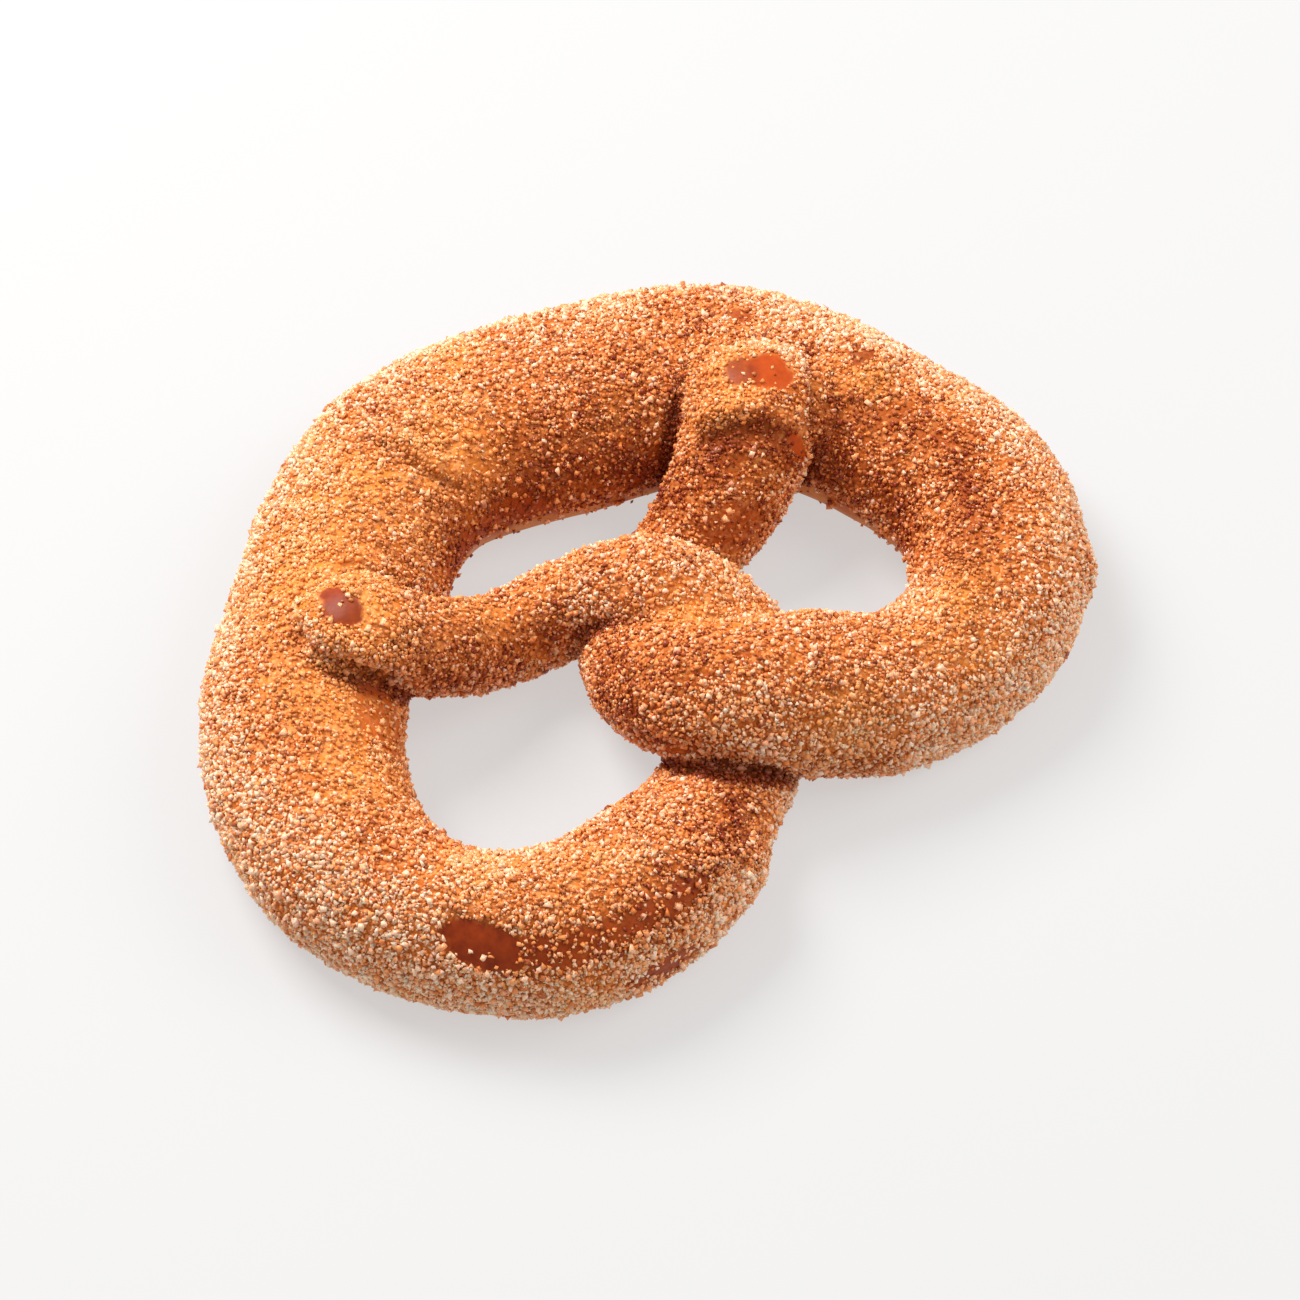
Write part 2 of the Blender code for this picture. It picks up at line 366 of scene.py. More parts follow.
def mesh_arrays(mesh):
    """A mesh's places and outward directions as arrays."""
    places = np.empty(len(mesh.vertices) * 3, np.float32)
    mesh.vertices.foreach_get("co", places)
    normals = np.empty(len(mesh.vertices) * 3, np.float32)
    mesh.vertex_normals.foreach_get("vector", normals)
    return places.reshape(-1, 3).astype(float), normals.reshape(-1, 3).astype(float)


def edge_ends(mesh):
    """The two points of each edge, by number."""
    ends = np.empty(len(mesh.edges) * 2, np.int32)
    mesh.edges.foreach_get("vertices", ends)
    return ends.reshape(-1, 2)


def spread_evenly(values, ends, count, passes):
    """Averages numbers with their neighbours', pass after pass."""
    near = np.bincount(ends.ravel(), minlength=count)[:, None]
    both = np.concatenate((ends[:, 0], ends[:, 1]))
    other = np.concatenate((ends[:, 1], ends[:, 0]))
    for _ in range(passes):
        sums = [np.bincount(both, weights=column[other], minlength=count) for column in values.T]
        total = np.stack(sums, axis=1)
        values = 0.5 * values + 0.5 * total / near
    return values


def new_object(name, mesh):
    """A piece, lamp or camera, linked into the scene."""
    piece = bpy.data.objects.new(name, mesh)
    bpy.context.scene.collection.objects.link(piece)
    return piece


def applied(piece):
    """Replaces a piece's mesh by what its modifiers make of it."""
    graph = bpy.context.evaluated_depsgraph_get()
    mesh = bpy.data.meshes.new_from_object(piece.evaluated_get(graph), depsgraph=graph)
    old = piece.data
    piece.modifiers.clear()
    piece.data = mesh
    bpy.data.meshes.remove(old)
    mesh.name = piece.name


def store_numbers(mesh, name, values):
    """Keeps a number with each point of the mesh, for its finish to read."""
    layer = mesh.attributes.new(name, "FLOAT", "POINT")
    layer.data.foreach_set("value", np.asarray(values, np.float32))


def stored_numbers(mesh, name):
    """The numbers that were kept with the mesh under that name."""
    values = np.empty(len(mesh.vertices), np.float32)
    mesh.attributes[name].data.foreach_get("value", values)
    return values


def welded_copy(source, name):
    """A copy of a CAD node's mesh with its split corners joined again."""
    mesh = bpy.data.meshes.new(name)
    form = bmesh.new()
    form.from_mesh(source.data)
    bmesh.ops.remove_doubles(form, verts=form.verts[:], dist=0.01 * MM)
    form.to_mesh(mesh)
    form.free()
    return mesh


# The fine skin: how it is evened out and how its hollows are found.
FACET_ROUNDING = 2
EVENING_PASSES = 4
SOFTENING_PASSES = 60
HOLLOW_PASSES = 3

# Hollows that count as creases, which are cut deeper and painted in shade, how far a soft seam reaches (in mm) and
# how far it is filled.
SHALLOW_HOLLOW = 0.10 * MM
CREASE_HOLLOW = 0.55 * MM
DEEPEST_CUT = 0.9 * MM
DEEPEST_FILL = 1.5 * MM
SEAM_REACH = 3.8
SEAM_FILL = 1.5
FULL_CRACK = 1.5

# Relief of the crust. Bare and unsugared places keep a fifth of it.
PIMPLES = 0.14 * MM
HEAP_RELIEF = 0.8 * MM
CALMING = 0.8

# The crust's top levels off this far under the solid's top, with this much room above that.
CRUST_LEVELS = 0.6 * MM
CRUST_ROOM = 0.8 * MM


def crust_skin(settings):
    """The pretzel's skin on a fine even grid, with its facets rounded away."""
    skin = new_object(CRUST, welded_copy(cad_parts[NODE], CRUST))
    rounding = skin.modifiers.new("round the facets", "SUBSURF")
    rounding.levels = rounding.render_levels = FACET_ROUNDING
    grid = skin.modifiers.new("fine grid", "REMESH")
    grid.mode = "VOXEL"
    grid.voxel_size = settings.grid
    even = skin.modifiers.new("even the grid", "SMOOTH")
    even.factor = 0.5
    even.iterations = EVENING_PASSES
    applied(skin)
    return skin


def sculpt(skin, settings):
    """Deepens the creases, raises lumps and folds, adds relief and stores what the finish reads."""
    mesh = skin.data
    places, normals = mesh_arrays(mesh)
    ends = edge_ends(mesh)
    count = len(places)
    on_base = rising(places[:, 2], 0.9 * MM, 0.2 * MM)
    softened = spread_evenly(places, ends, count, SOFTENING_PASSES)
    hollow = np.sum((softened - places) * normals, axis=1)
    hollow = spread_evenly(hollow[:, None], ends, count, HOLLOW_PASSES)[:, 0]
    # The mask of the hollows, kept as painted shade in the creases.
    crease = rising(hollow, SHALLOW_HOLLOW, CREASE_HOLLOW)
    seam = np.max([near_path(places, points, SEAM_REACH) for points in SOFT_SEAMS], axis=0)
    push = -np.clip(hollow - SHALLOW_HOLLOW, 0.0, DEEPEST_CUT) * settings.crease_gain * (1.0 - seam)
    push += np.clip(hollow, 0.0, DEEPEST_FILL) * SEAM_FILL * seam
    for middle, reach, height in LUMPS:
        push += near_point(places, middle, reach) * height * MM
    cracks = np.zeros(count)
    for depth, half_width, points in GROOVES:
        close = near_path(places, points, half_width)
        cracks = np.maximum(cracks, close * min(depth / FULL_CRACK, 1.0))
        push -= close * depth * MM
    for height, half_width, points in RIDGES:
        push += near_path(places, points, half_width) * height * MM
    bare, glaze = bareness(places)
    band = unsugared_band(places, normals)
    calm = 1.0 - CALMING * np.maximum(bare, band)
    push += layered_noise(places, 16.0 * MM, 1, 2) * settings.lump_height
    push += layered_noise(places, 3.6 * MM, 2, 3) * settings.wrinkle_height * calm
    push += np.abs(layered_noise(places, 1.5 * MM, 3, 2)) * PIMPLES * calm
    push += heaping(places) * np.abs(layered_noise(places, 2.4 * MM, 4, 2)) * HEAP_RELIEF
    push *= 1.0 - on_base
    places = places + normals * push[:, None]
    places[:, 2] = np.maximum(kept_low(places[:, 2], HIGH.z - CRUST_LEVELS, CRUST_ROOM), LOW.z)
    mesh.vertices.foreach_set("co", places.astype(np.float32).ravel())
    mesh.update()
    mesh.shade_smooth()
    store_numbers(mesh, "bare", bare)
    store_numbers(mesh, "glaze", glaze)
    store_numbers(mesh, "band", band)
    store_numbers(mesh, "golden", goldenness(places))
    # Deep brown, in part painted shade on walls facing the gaps and under the arms.
    store_numbers(mesh, "deep", deep_brown_and_shade(places))
    store_numbers(mesh, "rim", paleness(places, normals))
    # Painted shade in the hollows and in the grooves' cracks, for the crust and its sugar.
    store_numbers(mesh, "crease", np.maximum(crease * (1.0 - 0.8 * seam), 0.7 * cracks))


# ---------------------------------------------------------------- sugar

OCTAHEDRON = (
    ((1, 0, 0), (0, 1, 0), (-1, 0, 0), (0, -1, 0), (0, 0, 1), (0, 0, -1)),
    ((0, 1, 4), (1, 2, 4), (2, 3, 4), (3, 0, 4), (1, 0, 5), (2, 1, 5), (3, 2, 5), (0, 3, 5)),
)
WEDGE = (
    (
        (-0.8, -0.7, -0.6), (0.8, -0.7, -0.6), (0.0, 0.9, -0.6),
        (-0.8, -0.7, 0.6), (0.8, -0.7, 0.6), (0.0, 0.9, 0.6),
    ),
    ((0, 2, 1), (3, 4, 5), (0, 1, 4), (0, 4, 3), (1, 2, 5), (1, 5, 4), (2, 0, 3), (2, 3, 5)),
)


CORNERS_EACH, FACES_EACH = 6, 8

# How the crystals of a kind differ: stretch along their axes, dents at their corners and spread of size.
STRETCH = (0.72, 1.28)
DENTS = 0.12
SIZE_SPREAD = 0.28

# Small clusters of crystals: their size and the noise that places them.
CLUSTER = 1.9 * MM
CLUSTER_SEED = 42

# How far crystals stand out: a share of their size, then more in heaps and in clusters.
SUNK, PROUD = -0.3, 0.6
HEAP_LIFT = 0.35
CLUSTER_LIFT = 0.3
RIM_GROWTH = 0.07

# The sugar's top levels off this far under the solid's top, with this much room above that.
SUGAR_LEVELS = 0.4 * MM
SUGAR_ROOM = 0.6 * MM
OVER_FLOOR = 0.02 * MM
# How far past 1 a grain's tint may run: its darkening by painted shade in the creases and on the deep brown
# places.
DARKEST_TINT = 1.7


def random_turns(count, rng):
    """Rotation matrices spread evenly over all directions."""
    quat = rng.normal(size=(count, 4))
    w, x, y, z = (quat / np.linalg.norm(quat, axis=1)[:, None]).T
    rows = (
        (1 - 2 * (y * y + z * z), 2 * (x * y - z * w), 2 * (x * z + y * w)),
        (2 * (x * y + z * w), 1 - 2 * (x * x + z * z), 2 * (y * z - x * w)),
        (2 * (x * z - y * w), 2 * (y * z + x * w), 1 - 2 * (x * x + y * y)),
    )
    return np.stack([np.stack(row, axis=1) for row in rows], axis=1)


def scatter_places(skin, count, rng, density):
    """Places spread in step with a density per face, each face's direction and one of its points."""
    mesh = skin.data
    mesh.calc_loop_triangles()
    corners = np.empty(len(mesh.loop_triangles) * 3, np.int32)
    mesh.loop_triangles.foreach_get("vertices", corners)
    places, normals = mesh_arrays(mesh)
    a, b, c = (places[corners.reshape(-1, 3)[:, side]] for side in range(3))
    across = np.cross(b - a, c - a)
    area = np.linalg.norm(across, axis=1) * 0.5
    facing = across / (2.0 * area[:, None] + 1e-15)
    middle = (a + b + c) / 3.0
    weight = area * density(middle, facing)
    total = np.cumsum(weight)
    picks = (np.arange(count) + rng.random(count)) * total[-1] / count
    face = np.clip(np.searchsorted(total, picks), 0, len(total) - 1)
    u, v = rng.random(count), rng.random(count)
    flip = u + v > 1.0
    u, v = np.where(flip, 1.0 - u, u)[:, None], np.where(flip, 1.0 - v, v)[:, None]
    spots = a[face] * (1.0 - u - v) + b[face] * u + c[face] * v
    return spots, facing[face], corners.reshape(-1, 3)[face, 0]


def sugar_density(in_heaps, on_rim, in_deep_and_shade):
    """Grains per area of one kind: more in heaps and on the rim, and the share left on deep brown places, which
    are in part painted shade.
    """

    def density(middle, facing):
        clusters = lattice_noise(middle, CLUSTER, CLUSTER_SEED)
        spread = 0.75 + 0.3 * layered_noise(middle, 5.0 * MM, 40, 2) + 0.45 * clusters
        spread = np.maximum(spread, 0.1)
        patchy = 0.6 + 0.4 * rising(layered_noise(middle, 11.0 * MM, 44, 2), -0.45, 0.15)
        upward = rising(facing[:, 2], -0.75, -0.25)
        open_crust = 1.0 - 0.98 * bareness(middle)[0]
        above_band = 1.0 - 0.93 * unsugared_band(middle, facing)
        rim = paleness(middle, facing)
        zones = 1.0 + heaping(middle) * in_heaps + rim * on_rim - 0.5 * goldenness(middle) * (1.0 - rim)
        # Fewer grains on the deep brown places, in part painted shade on walls and under the arms.
        left_in_deep_and_shade = 1.0 - (1.0 - in_deep_and_shade) * deep_brown_and_shade(middle)
        return spread * patchy * upward * open_crust * above_band * zones * left_in_deep_and_shade

    return density


def crystals(mean_size, rng):
    """Corner offsets (count, 6, 3) of irregular crystals of those mean sizes, and the eight faces of each."""
    count = len(mean_size)
    wedge = rng.random(count) < 0.5
    forms = np.where(wedge[:, None, None], np.array(WEDGE[0], float), np.array(OCTAHEDRON[0], float))
    forms = forms * rng.uniform(*STRETCH, size=(count, 1, 3))
    forms = forms + rng.normal(0.0, DENTS, size=(count, CORNERS_EACH, 3))
    size = mean_size * 0.5 * np.exp(rng.normal(0.0, SIZE_SPREAD, size=count))
    size = np.clip(size, mean_size * 0.3, mean_size * 0.9)
    turned = np.einsum("nij,nkj->nki", random_turns(count, rng), forms) * size[:, None, None]
    faces = np.where(wedge[:, None, None], np.array(WEDGE[1]), np.array(OCTAHEDRON[1]))
    return turned, faces, size


def crystal_mesh(name, corners, faces, tints, golden):
    """All crystals of one kind as a single mesh, with each one's tint and how golden it is."""
    count = len(corners)
    mesh = bpy.data.meshes.new(name)
    mesh.vertices.add(count * CORNERS_EACH)
    mesh.vertices.foreach_set("co", corners.astype(np.float32).ravel())
    loops = (faces + (np.arange(count) * CORNERS_EACH)[:, None, None]).astype(np.int32).ravel()
    mesh.loops.add(len(loops))
    mesh.loops.foreach_set("vertex_index", loops)
    mesh.polygons.add(count * FACES_EACH)
    mesh.polygons.foreach_set("loop_start", np.arange(count * FACES_EACH, dtype=np.int32) * 3)
    mesh.update(calc_edges=True)
    mesh.validate()
    store_numbers(mesh, "tint", np.repeat(tints, CORNERS_EACH))
    store_numbers(mesh, "golden", np.repeat(golden, CORNERS_EACH))
    return mesh


# ---------------------------------------------------------------- finishes

# A colour Mix node's sockets by number, because its colour and number sockets share their names.
MIX_SHARE, MIX_FIRST, MIX_SECOND, MIX_RESULT = 0, 6, 7, 2


class Number:
    """A number in a finish's nodes. Arithmetic with it adds the Math nodes."""

    def __init__(self, finish, socket):
        self.finish = finish
        self.socket = socket

    def maths(self, operation, *terms):
        sockets = dict(enumerate(terms))
        node = self.finish.node("ShaderNodeMath", {"operation": operation}, sockets)
        return Number(self.finish, node.outputs[0])

    def __add__(self, other):
        return self.maths("ADD", self, other)

    __radd__ = __add__

    def __mul__(self, other):
        return self.maths("MULTIPLY", self, other)

    __rmul__ = __mul__

    def __sub__(self, other):
        return self.maths("SUBTRACT", self, other)

    def __rsub__(self, other):
        return self.maths("SUBTRACT", other, self)

    def clamped(self):
        return self.maths("MINIMUM", self.maths("MAXIMUM", self, 0.0), 1.0)

    def step(self, low, high):
        """0 below low, 1 above high and a smooth step between."""
        settings = {"interpolation_type": "SMOOTHSTEP"}
        sockets = {"Value": self, "From Min": low, "From Max": high}
        node = self.finish.node("ShaderNodeMapRange", settings, sockets)
        return Number(self.finish, node.outputs["Result"])


class Finish:
    """A material and the nodes of its surface."""

    def __init__(self, name):
        self.material = bpy.data.materials.new(name)
        self.material.use_nodes = True
        self.tree = self.material.node_tree
        self.shader = self.tree.nodes["Principled BSDF"]

    def node(self, kind, settings=None, sockets=None):
        """A node of that kind, with its settings, then the values or links of its sockets."""
        node = self.tree.nodes.new(kind)
        for name, setting in (settings or {}).items():
            setattr(node, name, setting)
        for name, given in (sockets or {}).items():
            self.give(node.inputs[name], given)
        return node

    def give(self, socket, given):
        """Links a socket or sets its value."""
        if isinstance(given, Number):
            given = given.socket
        if isinstance(given, bpy.types.NodeSocket):
            self.tree.links.new(given, socket)
        else:
            socket.default_value = given

    def stored(self, name):
        """A number kept with each point of the mesh."""
        node = self.node("ShaderNodeAttribute", {"attribute_name": name})
        return Number(self, node.outputs["Fac"])

    def noise(self, size, detail=3.0, roughness=0.55, w=0.0):
        """Noise from 0 to 1 with features of about that size."""
        place = self.node("ShaderNodeTexCoord").outputs["Object"]
        sockets = {"Vector": place, "W": w, "Scale": 1.0 / size, "Detail": detail, "Roughness": roughness}
        node = self.node("ShaderNodeTexNoise", {"noise_dimensions": "4D"}, sockets)
        return Number(self, node.outputs["Fac"])

    def grains(self, size):
        """Rounded cells like packed grains: the height within each, and a number of its own."""
        place = self.node("ShaderNodeTexCoord").outputs["Object"]
        cells = self.node("ShaderNodeTexVoronoi", None, {"Vector": place, "Scale": 1.0 / size})
        own = self.node("ShaderNodeSeparateColor", None, {"Color": cells.outputs["Color"]})
        return 1.0 - Number(self, cells.outputs["Distance"]), Number(self, own.outputs["Red"])

    def mix(self, share, first, second):
        """A colour between two others."""
        sockets = {MIX_SHARE: share, MIX_FIRST: first, MIX_SECOND: second}
        node = self.node("ShaderNodeMix", {"data_type": "RGBA", "blend_type": "MIX"}, sockets)
        return node.outputs[MIX_RESULT]

    def surface(self, **sockets):
        """Gives the shader's sockets, named with _ for each space."""
        for name, given in sockets.items():
            self.give(self.shader.inputs[name.replace("_", " ")], given)

    def bump(self, height, distance):
        """The surface's direction as that relief turns it."""
        sockets = {"Height": height, "Distance": distance, "Strength": 1.0}
        return self.node("ShaderNodeBump", None, sockets).outputs["Normal"]


def crust_finish(settings):
    """Browned crust dusted with cinnamon: golden in places, with painted shade in the creases and in part on the
    deep brown places, glazed where no sugar stuck.
    """
    finish = Finish("baked_crust")
    bare = finish.stored("bare")
    band = finish.stored("band")
    golden = finish.stored("golden")
    crease = finish.stored("crease")
    rim = finish.stored("rim")
    grain_height, grain_own = finish.grains(0.62 * MM)
    patches = finish.noise(9.0 * MM, 4.0)
    freckles = finish.noise(0.9 * MM, 3.0, 0.7, 3.0)
    dust = finish.noise(0.35 * MM, 2.0, 0.6, 7.0)
    deep = finish.stored("deep")
    gold_share = (golden * 0.8 + (patches - 0.5) * 0.9 + 0.12).clamped()
    colour = finish.mix(gold_share, settings.brown, settings.golden)
    # Deep brown where the crust baked darkest, in part painted shade on walls facing the gaps and under the arms.
    colour = finish.mix((deep * 0.8).clamped(), colour, settings.deep)
    colour = finish.mix(freckles.step(0.48, 0.66) * 0.65, colour, settings.cinnamon)
    grainy = finish.mix(grain_own, settings.grain_dark, settings.grain_light)
    grain_share = grain_own * 0.8 + (patches - 0.5) * 0.6 - deep * 0.6 - rim * 0.15 + golden * 0.15
    grain_share = grain_share.clamped()
    colour = finish.mix(grain_share, colour, grainy)
    # Painted shade: the crust darkens to near black in the creases and cracks.
    colour = finish.mix((crease * 0.85).clamped(), colour, settings.crease)
    glaze_share = (finish.stored("glaze") + (finish.noise(1.6 * MM, 3.0, 0.6, 5.0) - 0.5) * 1.2).clamped()
    glaze_tone = finish.mix(glaze_share, settings.glaze_dark, settings.glaze_light)
    colour = finish.mix(bare, colour, glaze_tone)
    dough = finish.mix(patches.step(0.4, 0.62), settings.dough, settings.dough_toasted)
    colour = finish.mix((band * 0.9).clamped(), colour, dough)
    roughness = 0.62 - bare * 0.2 - band * 0.12 + (dust - 0.5) * 0.2
    sugared = (1.0 - bare * 0.95) * (1.0 - band * 0.8)
    height = (grain_height * 1.6 + dust * 0.5) * sugared + freckles * 0.15
    finish.surface(
        Base_Color=colour,
        Roughness=roughness,
        Coat_Weight=bare * 0.04,
        Normal=finish.bump(height, 0.11 * MM),
    )
    finish.shader.inputs["Coat Roughness"].default_value = 0.34
    finish.shader.inputs["Specular IOR Level"].default_value = 0.12
    return finish.material


def sugar_finish(name, pale, deep, settings, roughness, softness):
    """Sugar crystals stained by cinnamon, each a little different; painted shade darkens them in the creases and,
    in part, on the deep brown places.
    """
    finish = Finish(name)
    tint = finish.stored("tint")
    colour = finish.mix(tint.clamped(), pale, deep)
    colour = finish.mix((finish.stored("golden") * 0.55).clamped(), colour, settings.gilded)
    # Tints past 1 come from painted shade in the creases, from the deep brown places (in part painted shade) and
    # from mottling.
    colour = finish.mix(((tint - 1.0) * 1.2).clamped(), colour, settings.deep)
    finish.surface(Base_Color=colour)
    finish.shader.inputs["Roughness"].default_value = roughness
    finish.shader.inputs["Specular IOR Level"].default_value = 0.35
    finish.shader.inputs["Subsurface Weight"].default_value = softness
    finish.shader.inputs["Subsurface Radius"].default_value = (1.0, 0.5, 0.25)
    finish.shader.inputs["Subsurface Scale"].default_value = 0.5 * MM
    return finish.material


def floor_finish(colour, glow):
    """A pale floor that glows a little, as a light table does, so that shadows on it stay soft."""
    finish = Finish("pale_floor")
    finish.surface(Base_Color=colour)
    finish.shader.inputs["Roughness"].default_value = 0.9
    finish.shader.inputs["Specular IOR Level"].default_value = 0.1
    finish.shader.inputs["Emission Color"].default_value = (1.0, 0.985, 0.975, 1.0)
    finish.shader.inputs["Emission Strength"].default_value = glow
    return finish.material


# ---------------------------------------------------------------- settings

def length(name, description, default):
    """A length that the user can change."""
    return bpy.props.FloatProperty(
        name=name, description=description, default=default, min=0.0,
        subtype="DISTANCE", unit="LENGTH", precision=5,
    )


def colour(name, description, default):
    """A colour that the user can change."""
    return bpy.props.FloatVectorProperty(
        name=name, description=description, default=default + (1.0,), size=4,
        min=0.0, max=1.0, subtype="COLOR",
    )


class CrustSettings(bpy.types.PropertyGroup):
    grid: length("Grid", "Size of the skin's facets", 0.72 * MM)
    crease_gain: bpy.props.FloatProperty(
        name="Crease gain", description="How many times deeper the creases are cut", default=2.0, min=0.0
    )
    lump_height: length("Lumps", "Height of the broad unevenness of hand-rolled dough", 0.55 * MM)
    wrinkle_height: length("Wrinkles", "Height of the crust's wrinkles", 0.28 * MM)
    golden: colour("Golden crust", "Where the crust is golden", (0.85, 0.29, 0.035))
    brown: colour("Brown crust", "Where the crust is brown", (0.46, 0.095, 0.008))
    # The deep brown places are in part painted shade on walls and under the arms.
    deep: colour("Deep brown crust", "Where the crust is darkest", (0.22, 0.026, 0.002))
    cinnamon: colour("Cinnamon", "The dust that lies between the grains", (0.34, 0.060, 0.006))
    grain_light: colour("Sugar layer, light", "Palest of the sugar flat on the crust", (0.86, 0.36, 0.12))
    grain_dark: colour("Sugar layer, dark", "Darkest of the sugar flat on the crust", (0.56, 0.125, 0.015))
    # Painted shade in the creases.
    crease: colour("Creases", "The crust deep in the creases", (0.12, 0.018, 0.003))
    glaze_light: colour("Glaze, light", "Bare glazed crust where it is lightest", (0.44, 0.060, 0.006))
    glaze_dark: colour("Glaze, dark", "Bare glazed crust where it is darkest", (0.19, 0.021, 0.003))
    dough: colour("Dough", "Pale dough at the foot of the crust", (0.60, 0.20, 0.018))
    dough_toasted: colour("Toasted dough", "Browner dough at the foot of the crust", (0.44, 0.10, 0.007))


class SugarSettings(bpy.types.PropertyGroup):
    grain: length("Grain", "Usual size of a sugar crystal", 0.74 * MM)
    per_kind: bpy.props.IntProperty(
        name="Grains of a kind", description="Number of crystals of each colour", default=23500, min=1, max=24900
    )
    clear: colour("Clear sugar", "The palest crystals", (0.97, 0.62, 0.43))
    tan: colour("Tan sugar", "Crystals with a little cinnamon on them", (0.90, 0.42, 0.22))
    amber: colour("Amber sugar", "Crystals stained by the glaze", (0.86, 0.32, 0.095))
    brown: colour("Brown sugar", "Crystals covered in cinnamon", (0.68, 0.185, 0.035))
    # Crystals on the darkest places: in part painted shade in creases, on walls and under the arms.
    deep: colour("Dark sugar", "Crystals on the darkest crust", (0.23, 0.022, 0.001))
    gilded: colour("Golden sugar", "Crystals on the golden crust", (0.97, 0.41, 0.10))


class StageSettings(bpy.types.PropertyGroup):
    floor: colour("Floor", "The floor under the pretzel", (0.22, 0.22, 0.22))
    glow: bpy.props.FloatProperty(
        name="Floor glow", description="Light that the floor gives", default=0.535, min=0.0
    )
    key: bpy.props.FloatProperty(
        name="Key light", description="Power of the soft light behind the pretzel", default=12.8,
        min=0.0, unit="POWER",
    )
    fill: bpy.props.FloatProperty(
        name="Fill light", description="Power of the light at the right", default=4.2, min=0.0, unit="POWER"
    )
    sky: bpy.props.FloatProperty(
        name="Sky", description="Strength of the even light around", default=0.56, min=0.0
    )
    lens: bpy.props.FloatProperty(
        name="Lens", description="Focal length of the camera", default=117.5, min=1.0, subtype="DISTANCE_CAMERA"
    )
    elevation: bpy.props.FloatProperty(
        name="Camera elevation", description="How far the camera looks down", default=math.radians(55.0),
        subtype="ANGLE", unit="ROTATION",
    )
    heading: bpy.props.FloatProperty(
        name="Camera heading", description="Way the camera looks, turned from +Y towards +X",
        default=math.radians(38.0), subtype="ANGLE", unit="ROTATION",
    )
    distance: length("Camera distance", "From the camera to the pretzel", 0.7)


# ---------------------------------------------------------------- operators

# The stage: what the camera looks at, seen from the pretzel's middle, and the sizes of floor and lamps, in metres.
AIM_OFFSET = (0.45 * MM, -11.05 * MM)
AIM_HEIGHT = 8.0 * MM
FLOOR_REACH = 3.0
LAMP_DISTANCE = 0.9
KEY_SIZE, FILL_SIZE = 0.5, 0.6
SENSOR_WIDTH = 36.0


class PRETZEL_OT_crust(bpy.types.Operator):
    """Makes the baked crust on the plain pretzel solid"""

    bl_idname = "pretzel.crust"
    bl_label = "Bake the Crust"

    def execute(self, context):
        settings = context.scene.pretzel_crust
        skin = crust_skin(settings)
        sculpt(skin, settings)
        skin.data.materials.clear()
        skin.data.materials.append(crust_finish(settings))
        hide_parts(NODE)
        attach(skin, BODY)
        return {"FINISHED"}


class PRETZEL_OT_sugar(bpy.types.Operator):
    """Coats the crust with sugar crystals of four colours"""

    bl_idname = "pretzel.sugar"
    bl_label = "Coat with Sugar"

    def execute(self, context):
        settings = context.scene.pretzel_sugar
        if CRUST not in bpy.data.objects:
            raise RuntimeError("there is no crust to coat: bake the crust first")
        kinds = (
            ("sugar_clear", 1.04, settings.clear, settings.tan, 0.2, 0.6, (0.8, 2.4, 0.25)),
            ("sugar_tan", 1.0, settings.tan, settings.amber, 0.25, 0.6, (1.0, 0.9, 0.35)),
            ("sugar_amber", 0.97, settings.amber, settings.brown, 0.3, 0.0, (1.0, -0.3, 0.8)),
            ("sugar_brown", 0.94, settings.brown, settings.deep, 0.36, 0.0, (0.4, -0.5, 1.0)),
        )
        for seed, (name, scale, pale, deep, roughness, softness, zones) in enumerate(kinds, 11):
            self.make_kind(settings, name, scale, pale, deep, roughness, softness, zones, seed)
        return {"FINISHED"}

    def make_kind(self, settings, name, scale, pale, deep, roughness, softness, zones, seed):
        rng = np.random.default_rng(seed)
        skin = bpy.data.objects[CRUST]
        spots, facing, near = scatter_places(skin, settings.per_kind, rng, sugar_density(*zones))
        pale_share = paleness(spots, facing)
        offsets, faces, size = crystals(settings.grain * scale * (1.0 + RIM_GROWTH * pale_share), rng)
        lift = size * rng.uniform(SUNK, PROUD, size=len(size))
        lift += heaping(spots) * rng.random(len(size)) * HEAP_LIFT * MM
        clusters = np.maximum(lattice_noise(spots, CLUSTER, CLUSTER_SEED), 0.0)
        lift += clusters * rng.random(len(size)) * CLUSTER_LIFT * MM
        middle = spots + facing * lift[:, None]
        middle[:, 2] = kept_low(middle[:, 2], HIGH.z - SUGAR_LEVELS, SUGAR_ROOM)
        corners = middle[:, None, :] + offsets
        corners[:, :, 2] = np.maximum(corners[:, :, 2], LOW.z + OVER_FLOOR)
        mottling = layered_noise(middle, 7.0 * MM, 71)
        crease = stored_numbers(skin.data, "crease")[near]
        # Grains darken with the deep brown places, in part painted shade, and with painted shade in the creases.
        stain = 0.9 * deep_brown_and_shade(middle) - 0.5 * pale_share + 0.45 * mottling + 1.4 * crease
        tints = np.clip(rng.random(len(size)) + stain, 0.0, DARKEST_TINT)
        golden = goldenness(middle)
        piece = new_object(name, crystal_mesh(name, corners, faces, tints, golden))
        piece.data.materials.append(sugar_finish(name, pale, deep, settings, roughness, softness))
        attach(piece, BODY)


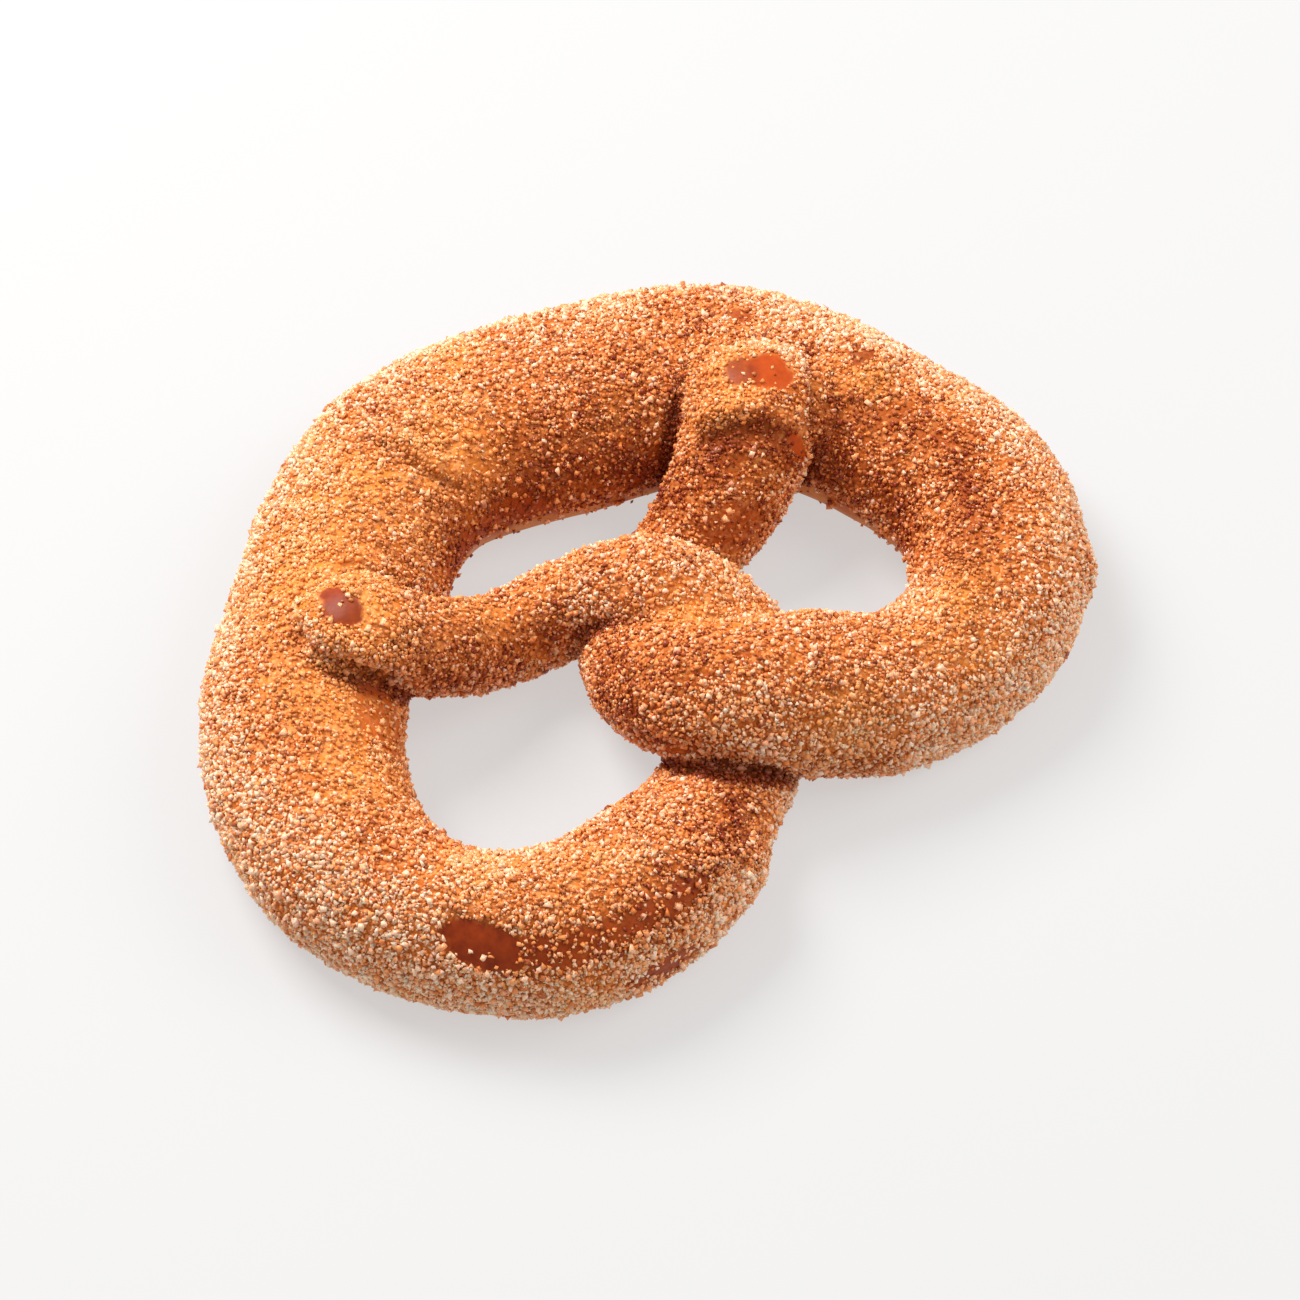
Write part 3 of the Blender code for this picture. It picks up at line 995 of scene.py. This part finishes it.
class PRETZEL_OT_stage(bpy.types.Operator):
    """Makes the floor, the soft lights and the camera"""

    bl_idname = "pretzel.stage"
    bl_label = "Set the Stage"

    def execute(self, context):
        settings = context.scene.pretzel_stage
        middle = (LOW + HIGH) / 2.0
        aside, along = AIM_OFFSET
        target = Vector((middle.x + aside, middle.y + along, AIM_HEIGHT))
        ahead = Vector((math.sin(settings.heading), math.cos(settings.heading), 0.0))
        self.make_floor(settings)
        self.make_lights(settings, target, ahead)
        self.make_camera(settings, target, ahead)
        context.scene.view_settings.view_transform = "Standard"
        return {"FINISHED"}

    def make_floor(self, settings):
        form = bmesh.new()
        bmesh.ops.create_grid(form, x_segments=1, y_segments=1, size=FLOOR_REACH)
        mesh = bpy.data.meshes.new("floor")
        form.to_mesh(mesh)
        form.free()
        floor = new_object("floor", mesh)
        floor.location.z = LOW.z
        mesh.materials.append(floor_finish(settings.floor, settings.glow))

    def make_lights(self, settings, target, ahead):
        aside = Vector((ahead.y, -ahead.x, 0.0))
        up = Vector((0.0, 0.0, 1.0))
        behind_left = ahead * 0.5 - aside * 0.5 + up * 0.75
        right = up * 0.75 + ahead * 0.1 + aside * 0.75
        self.lamp("key", settings.key, KEY_SIZE, target + behind_left * LAMP_DISTANCE, target)
        self.lamp("fill", settings.fill, FILL_SIZE, target + right * LAMP_DISTANCE, target)
        world = bpy.data.worlds.new("even_light")
        world.use_nodes = True
        light = world.node_tree.nodes["Background"]
        light.inputs["Color"].default_value = (1.0, 1.0, 1.0, 1.0)
        light.inputs["Strength"].default_value = settings.sky
        bpy.context.scene.world = world

    def lamp(self, name, power, size, place, target):
        data = bpy.data.lights.new(name, "AREA")
        data.energy = power
        data.size = size
        lamp = new_object(name, data)
        lamp.location = place
        lamp.rotation_mode = "QUATERNION"
        lamp.rotation_quaternion = (target - place).to_track_quat("-Z", "Y")

    def make_camera(self, settings, target, ahead):
        down = math.sin(settings.elevation)
        look = ahead * math.cos(settings.elevation) - Vector((0.0, 0.0, down))
        data = bpy.data.cameras.new("camera")
        data.lens = settings.lens
        data.sensor_width = SENSOR_WIDTH
        data.clip_start = 0.01
        camera = new_object("camera", data)
        camera.location = target - look * settings.distance
        camera.rotation_mode = "QUATERNION"
        camera.rotation_quaternion = look.to_track_quat("-Z", "Y")
        bpy.context.scene.camera = camera


class PRETZEL_PT_panel(bpy.types.Panel):
    """Lists the pretzel's pieces and their settings"""

    bl_idname = "PRETZEL_PT_panel"
    bl_label = "Pretzel"
    bl_space_type = "VIEW_3D"
    bl_region_type = "UI"
    bl_category = "Pretzel"

    def draw(self, context):
        scene = context.scene
        groups = (
            (PRETZEL_OT_crust, scene.pretzel_crust),
            (PRETZEL_OT_sugar, scene.pretzel_sugar),
            (PRETZEL_OT_stage, scene.pretzel_stage),
        )
        for operator, settings in groups:
            box = self.layout.box()
            box.operator(operator.bl_idname)
            for name in settings.__annotations__:
                box.prop(settings, name)


CLASSES = (
    CrustSettings,
    SugarSettings,
    StageSettings,
    PRETZEL_OT_crust,
    PRETZEL_OT_sugar,
    PRETZEL_OT_stage,
    PRETZEL_PT_panel,
)


def register():
    for cls in CLASSES:
        bpy.utils.register_class(cls)
    bpy.types.Scene.pretzel_crust = bpy.props.PointerProperty(type=CrustSettings)
    bpy.types.Scene.pretzel_sugar = bpy.props.PointerProperty(type=SugarSettings)
    bpy.types.Scene.pretzel_stage = bpy.props.PointerProperty(type=StageSettings)


def unregister():
    del bpy.types.Scene.pretzel_stage
    del bpy.types.Scene.pretzel_sugar
    del bpy.types.Scene.pretzel_crust
    for cls in reversed(CLASSES):
        bpy.utils.unregister_class(cls)


def main():
    register()
    bpy.ops.pretzel.crust()
    bpy.ops.pretzel.sugar()
    bpy.ops.pretzel.stage()


if __name__ == "__main__":
    main()
